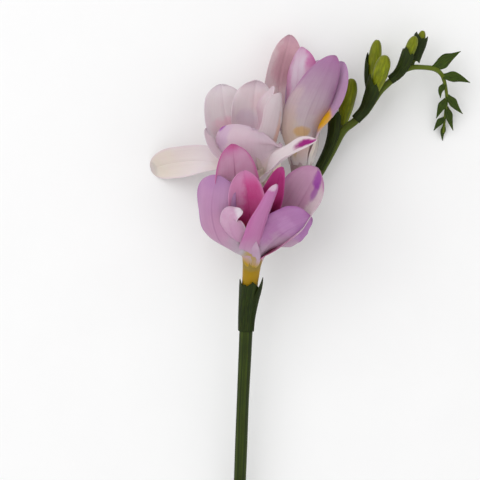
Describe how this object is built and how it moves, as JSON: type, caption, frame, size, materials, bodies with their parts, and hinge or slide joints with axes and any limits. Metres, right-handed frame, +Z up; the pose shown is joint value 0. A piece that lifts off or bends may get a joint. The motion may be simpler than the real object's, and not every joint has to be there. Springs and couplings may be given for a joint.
{
  "type": "cut freesia stem",
  "caption": "Cut freesia stem lying on a table: slim green stem, open pink and white blooms, and a bent spike of buds in green bracts.",
  "frame": {"origin": "on the table under the middle of the stem's footprint", "axes": "+Z up from the table, +Y from the cut end towards the flowers, +X towards the side that the bud spike bends to"},
  "size_m": [0.1307, 0.2801, 0.0487],
  "materials": {
    "stem": "smooth living green stem, slightly waxy",
    "bract": "dark green leafy bract with fine lengthwise veins",
    "bud": "yellow-green closed bud with soft ridges",
    "pink_petal": "soft pink and lilac petal with a yellow tube",
    "white_petal": "soft white petal flushed with pink",
    "lilac_petal": "soft lilac petal, white towards the tube",
    "stamen": "cream filaments, anthers and style"
  },
  "bodies": {
    "root": {"stem": "stem", "bracts_bloom_a": "bract", "bracts_bloom_b": "bract", "bracts_bloom_c": "bract", "bracts_bud_1": "bract", "bracts_bud_2_front": "bract", "bracts_bud_2_back": "bract", "bracts_bud_3_front": "bract", "bracts_bud_3_back": "bract", "bud_1": "bud", "bud_2_front": "bud", "bud_2_back": "bud", "bud_3_front": "bud", "bud_3_back": "bud", "bloom_a_perianth": "pink_petal", "bloom_b_perianth": "white_petal", "bloom_c_perianth": "lilac_petal", "bloom_a_stamens": "stamen", "bloom_b_stamens": "stamen", "bloom_c_stamens": "stamen"}
  },
  "joints": []
}
